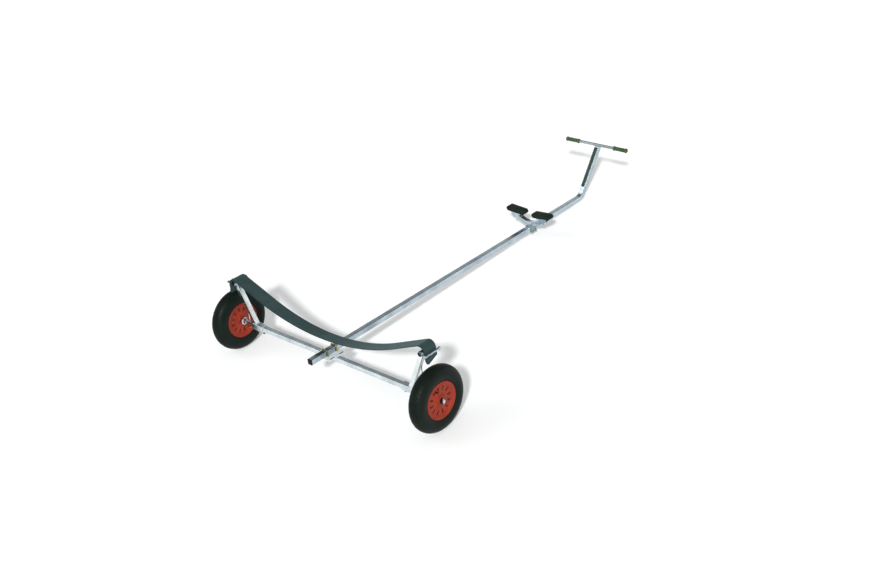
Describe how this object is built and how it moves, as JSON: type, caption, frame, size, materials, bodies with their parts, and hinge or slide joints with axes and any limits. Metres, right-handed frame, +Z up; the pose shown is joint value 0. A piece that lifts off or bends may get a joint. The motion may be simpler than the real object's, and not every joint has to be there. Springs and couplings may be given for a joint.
{
  "type": "dinghy launching trolley",
  "caption": "Hand trolley for launching a small boat: a bent spine with a T handle, a cross beam on wheels, a sagging hull strap and a padded bow rest.",
  "frame": {"origin": "centre of the parked trolley's box, on the floor that its tyres and the heel of its handle post stand on", "axes": "+X to the trolley's right, +Y forward from the wheels to the handle, +Z up"},
  "size_m": [1.8186, 2.953, 0.5184],
  "materials": {
    "zinc_steel": "bright zinc plate",
    "yellow_zinc": "yellow passivated zinc",
    "tyre_rubber": "satin",
    "rim_plastic": "moulded, satin",
    "black_plastic": "moulded, matte",
    "grip_plastic": "ribbed, matte",
    "strap_webbing": "coated webbing, satin",
    "pad_rubber": "matte"
  },
  "bodies": {
    "frame": {"axle_beam": "zinc_steel", "bow_bolts": "yellow_zinc", "bow_bracket_tube": "zinc_steel", "bow_pad_left": "pad_rubber", "bow_pad_plate_left": "zinc_steel", "bow_pad_plate_right": "zinc_steel", "bow_pad_right": "pad_rubber", "bow_saddle": "zinc_steel", "brace_left": "zinc_steel", "brace_right": "zinc_steel", "centre_plate": "zinc_steel", "clamp_bar_left": "zinc_steel", "clamp_bar_right": "zinc_steel", "cradle_tube_left": "zinc_steel", "cradle_tube_right": "zinc_steel", "end_sleeve_left": "zinc_steel", "end_sleeve_right": "zinc_steel", "handle_crossbar": "zinc_steel", "handle_grip_left": "grip_plastic", "handle_grip_right": "grip_plastic", "spine_end_plug": "black_plastic", "spine_tube": "zinc_steel", "strap": "strap_webbing", "stub_axle_left": "zinc_steel", "stub_axle_right": "zinc_steel", "stub_tube_left": "zinc_steel", "stub_tube_right": "zinc_steel", "ubolt_front": "yellow_zinc", "ubolt_rear": "yellow_zinc", "upright_left": "zinc_steel", "upright_right": "zinc_steel"},
    "wheel_left": {"tyre_left": "tyre_rubber", "rim_left": "rim_plastic", "hub_bush_left": "black_plastic"},
    "wheel_right": {"tyre_right": "tyre_rubber", "rim_right": "rim_plastic", "hub_bush_right": "black_plastic"}
  },
  "joints": [
    {"name": "wheel_left_spin", "type": "hinge", "parent": "frame", "child": "wheel_left", "pos_m": [-0.85, -1.27652, 0.2], "axis": [1, 0, 0], "continuous": true},
    {"name": "wheel_right_spin", "type": "hinge", "parent": "frame", "child": "wheel_right", "pos_m": [0.85, -1.27652, 0.2], "axis": [1, 0, 0], "continuous": true}
  ]
}
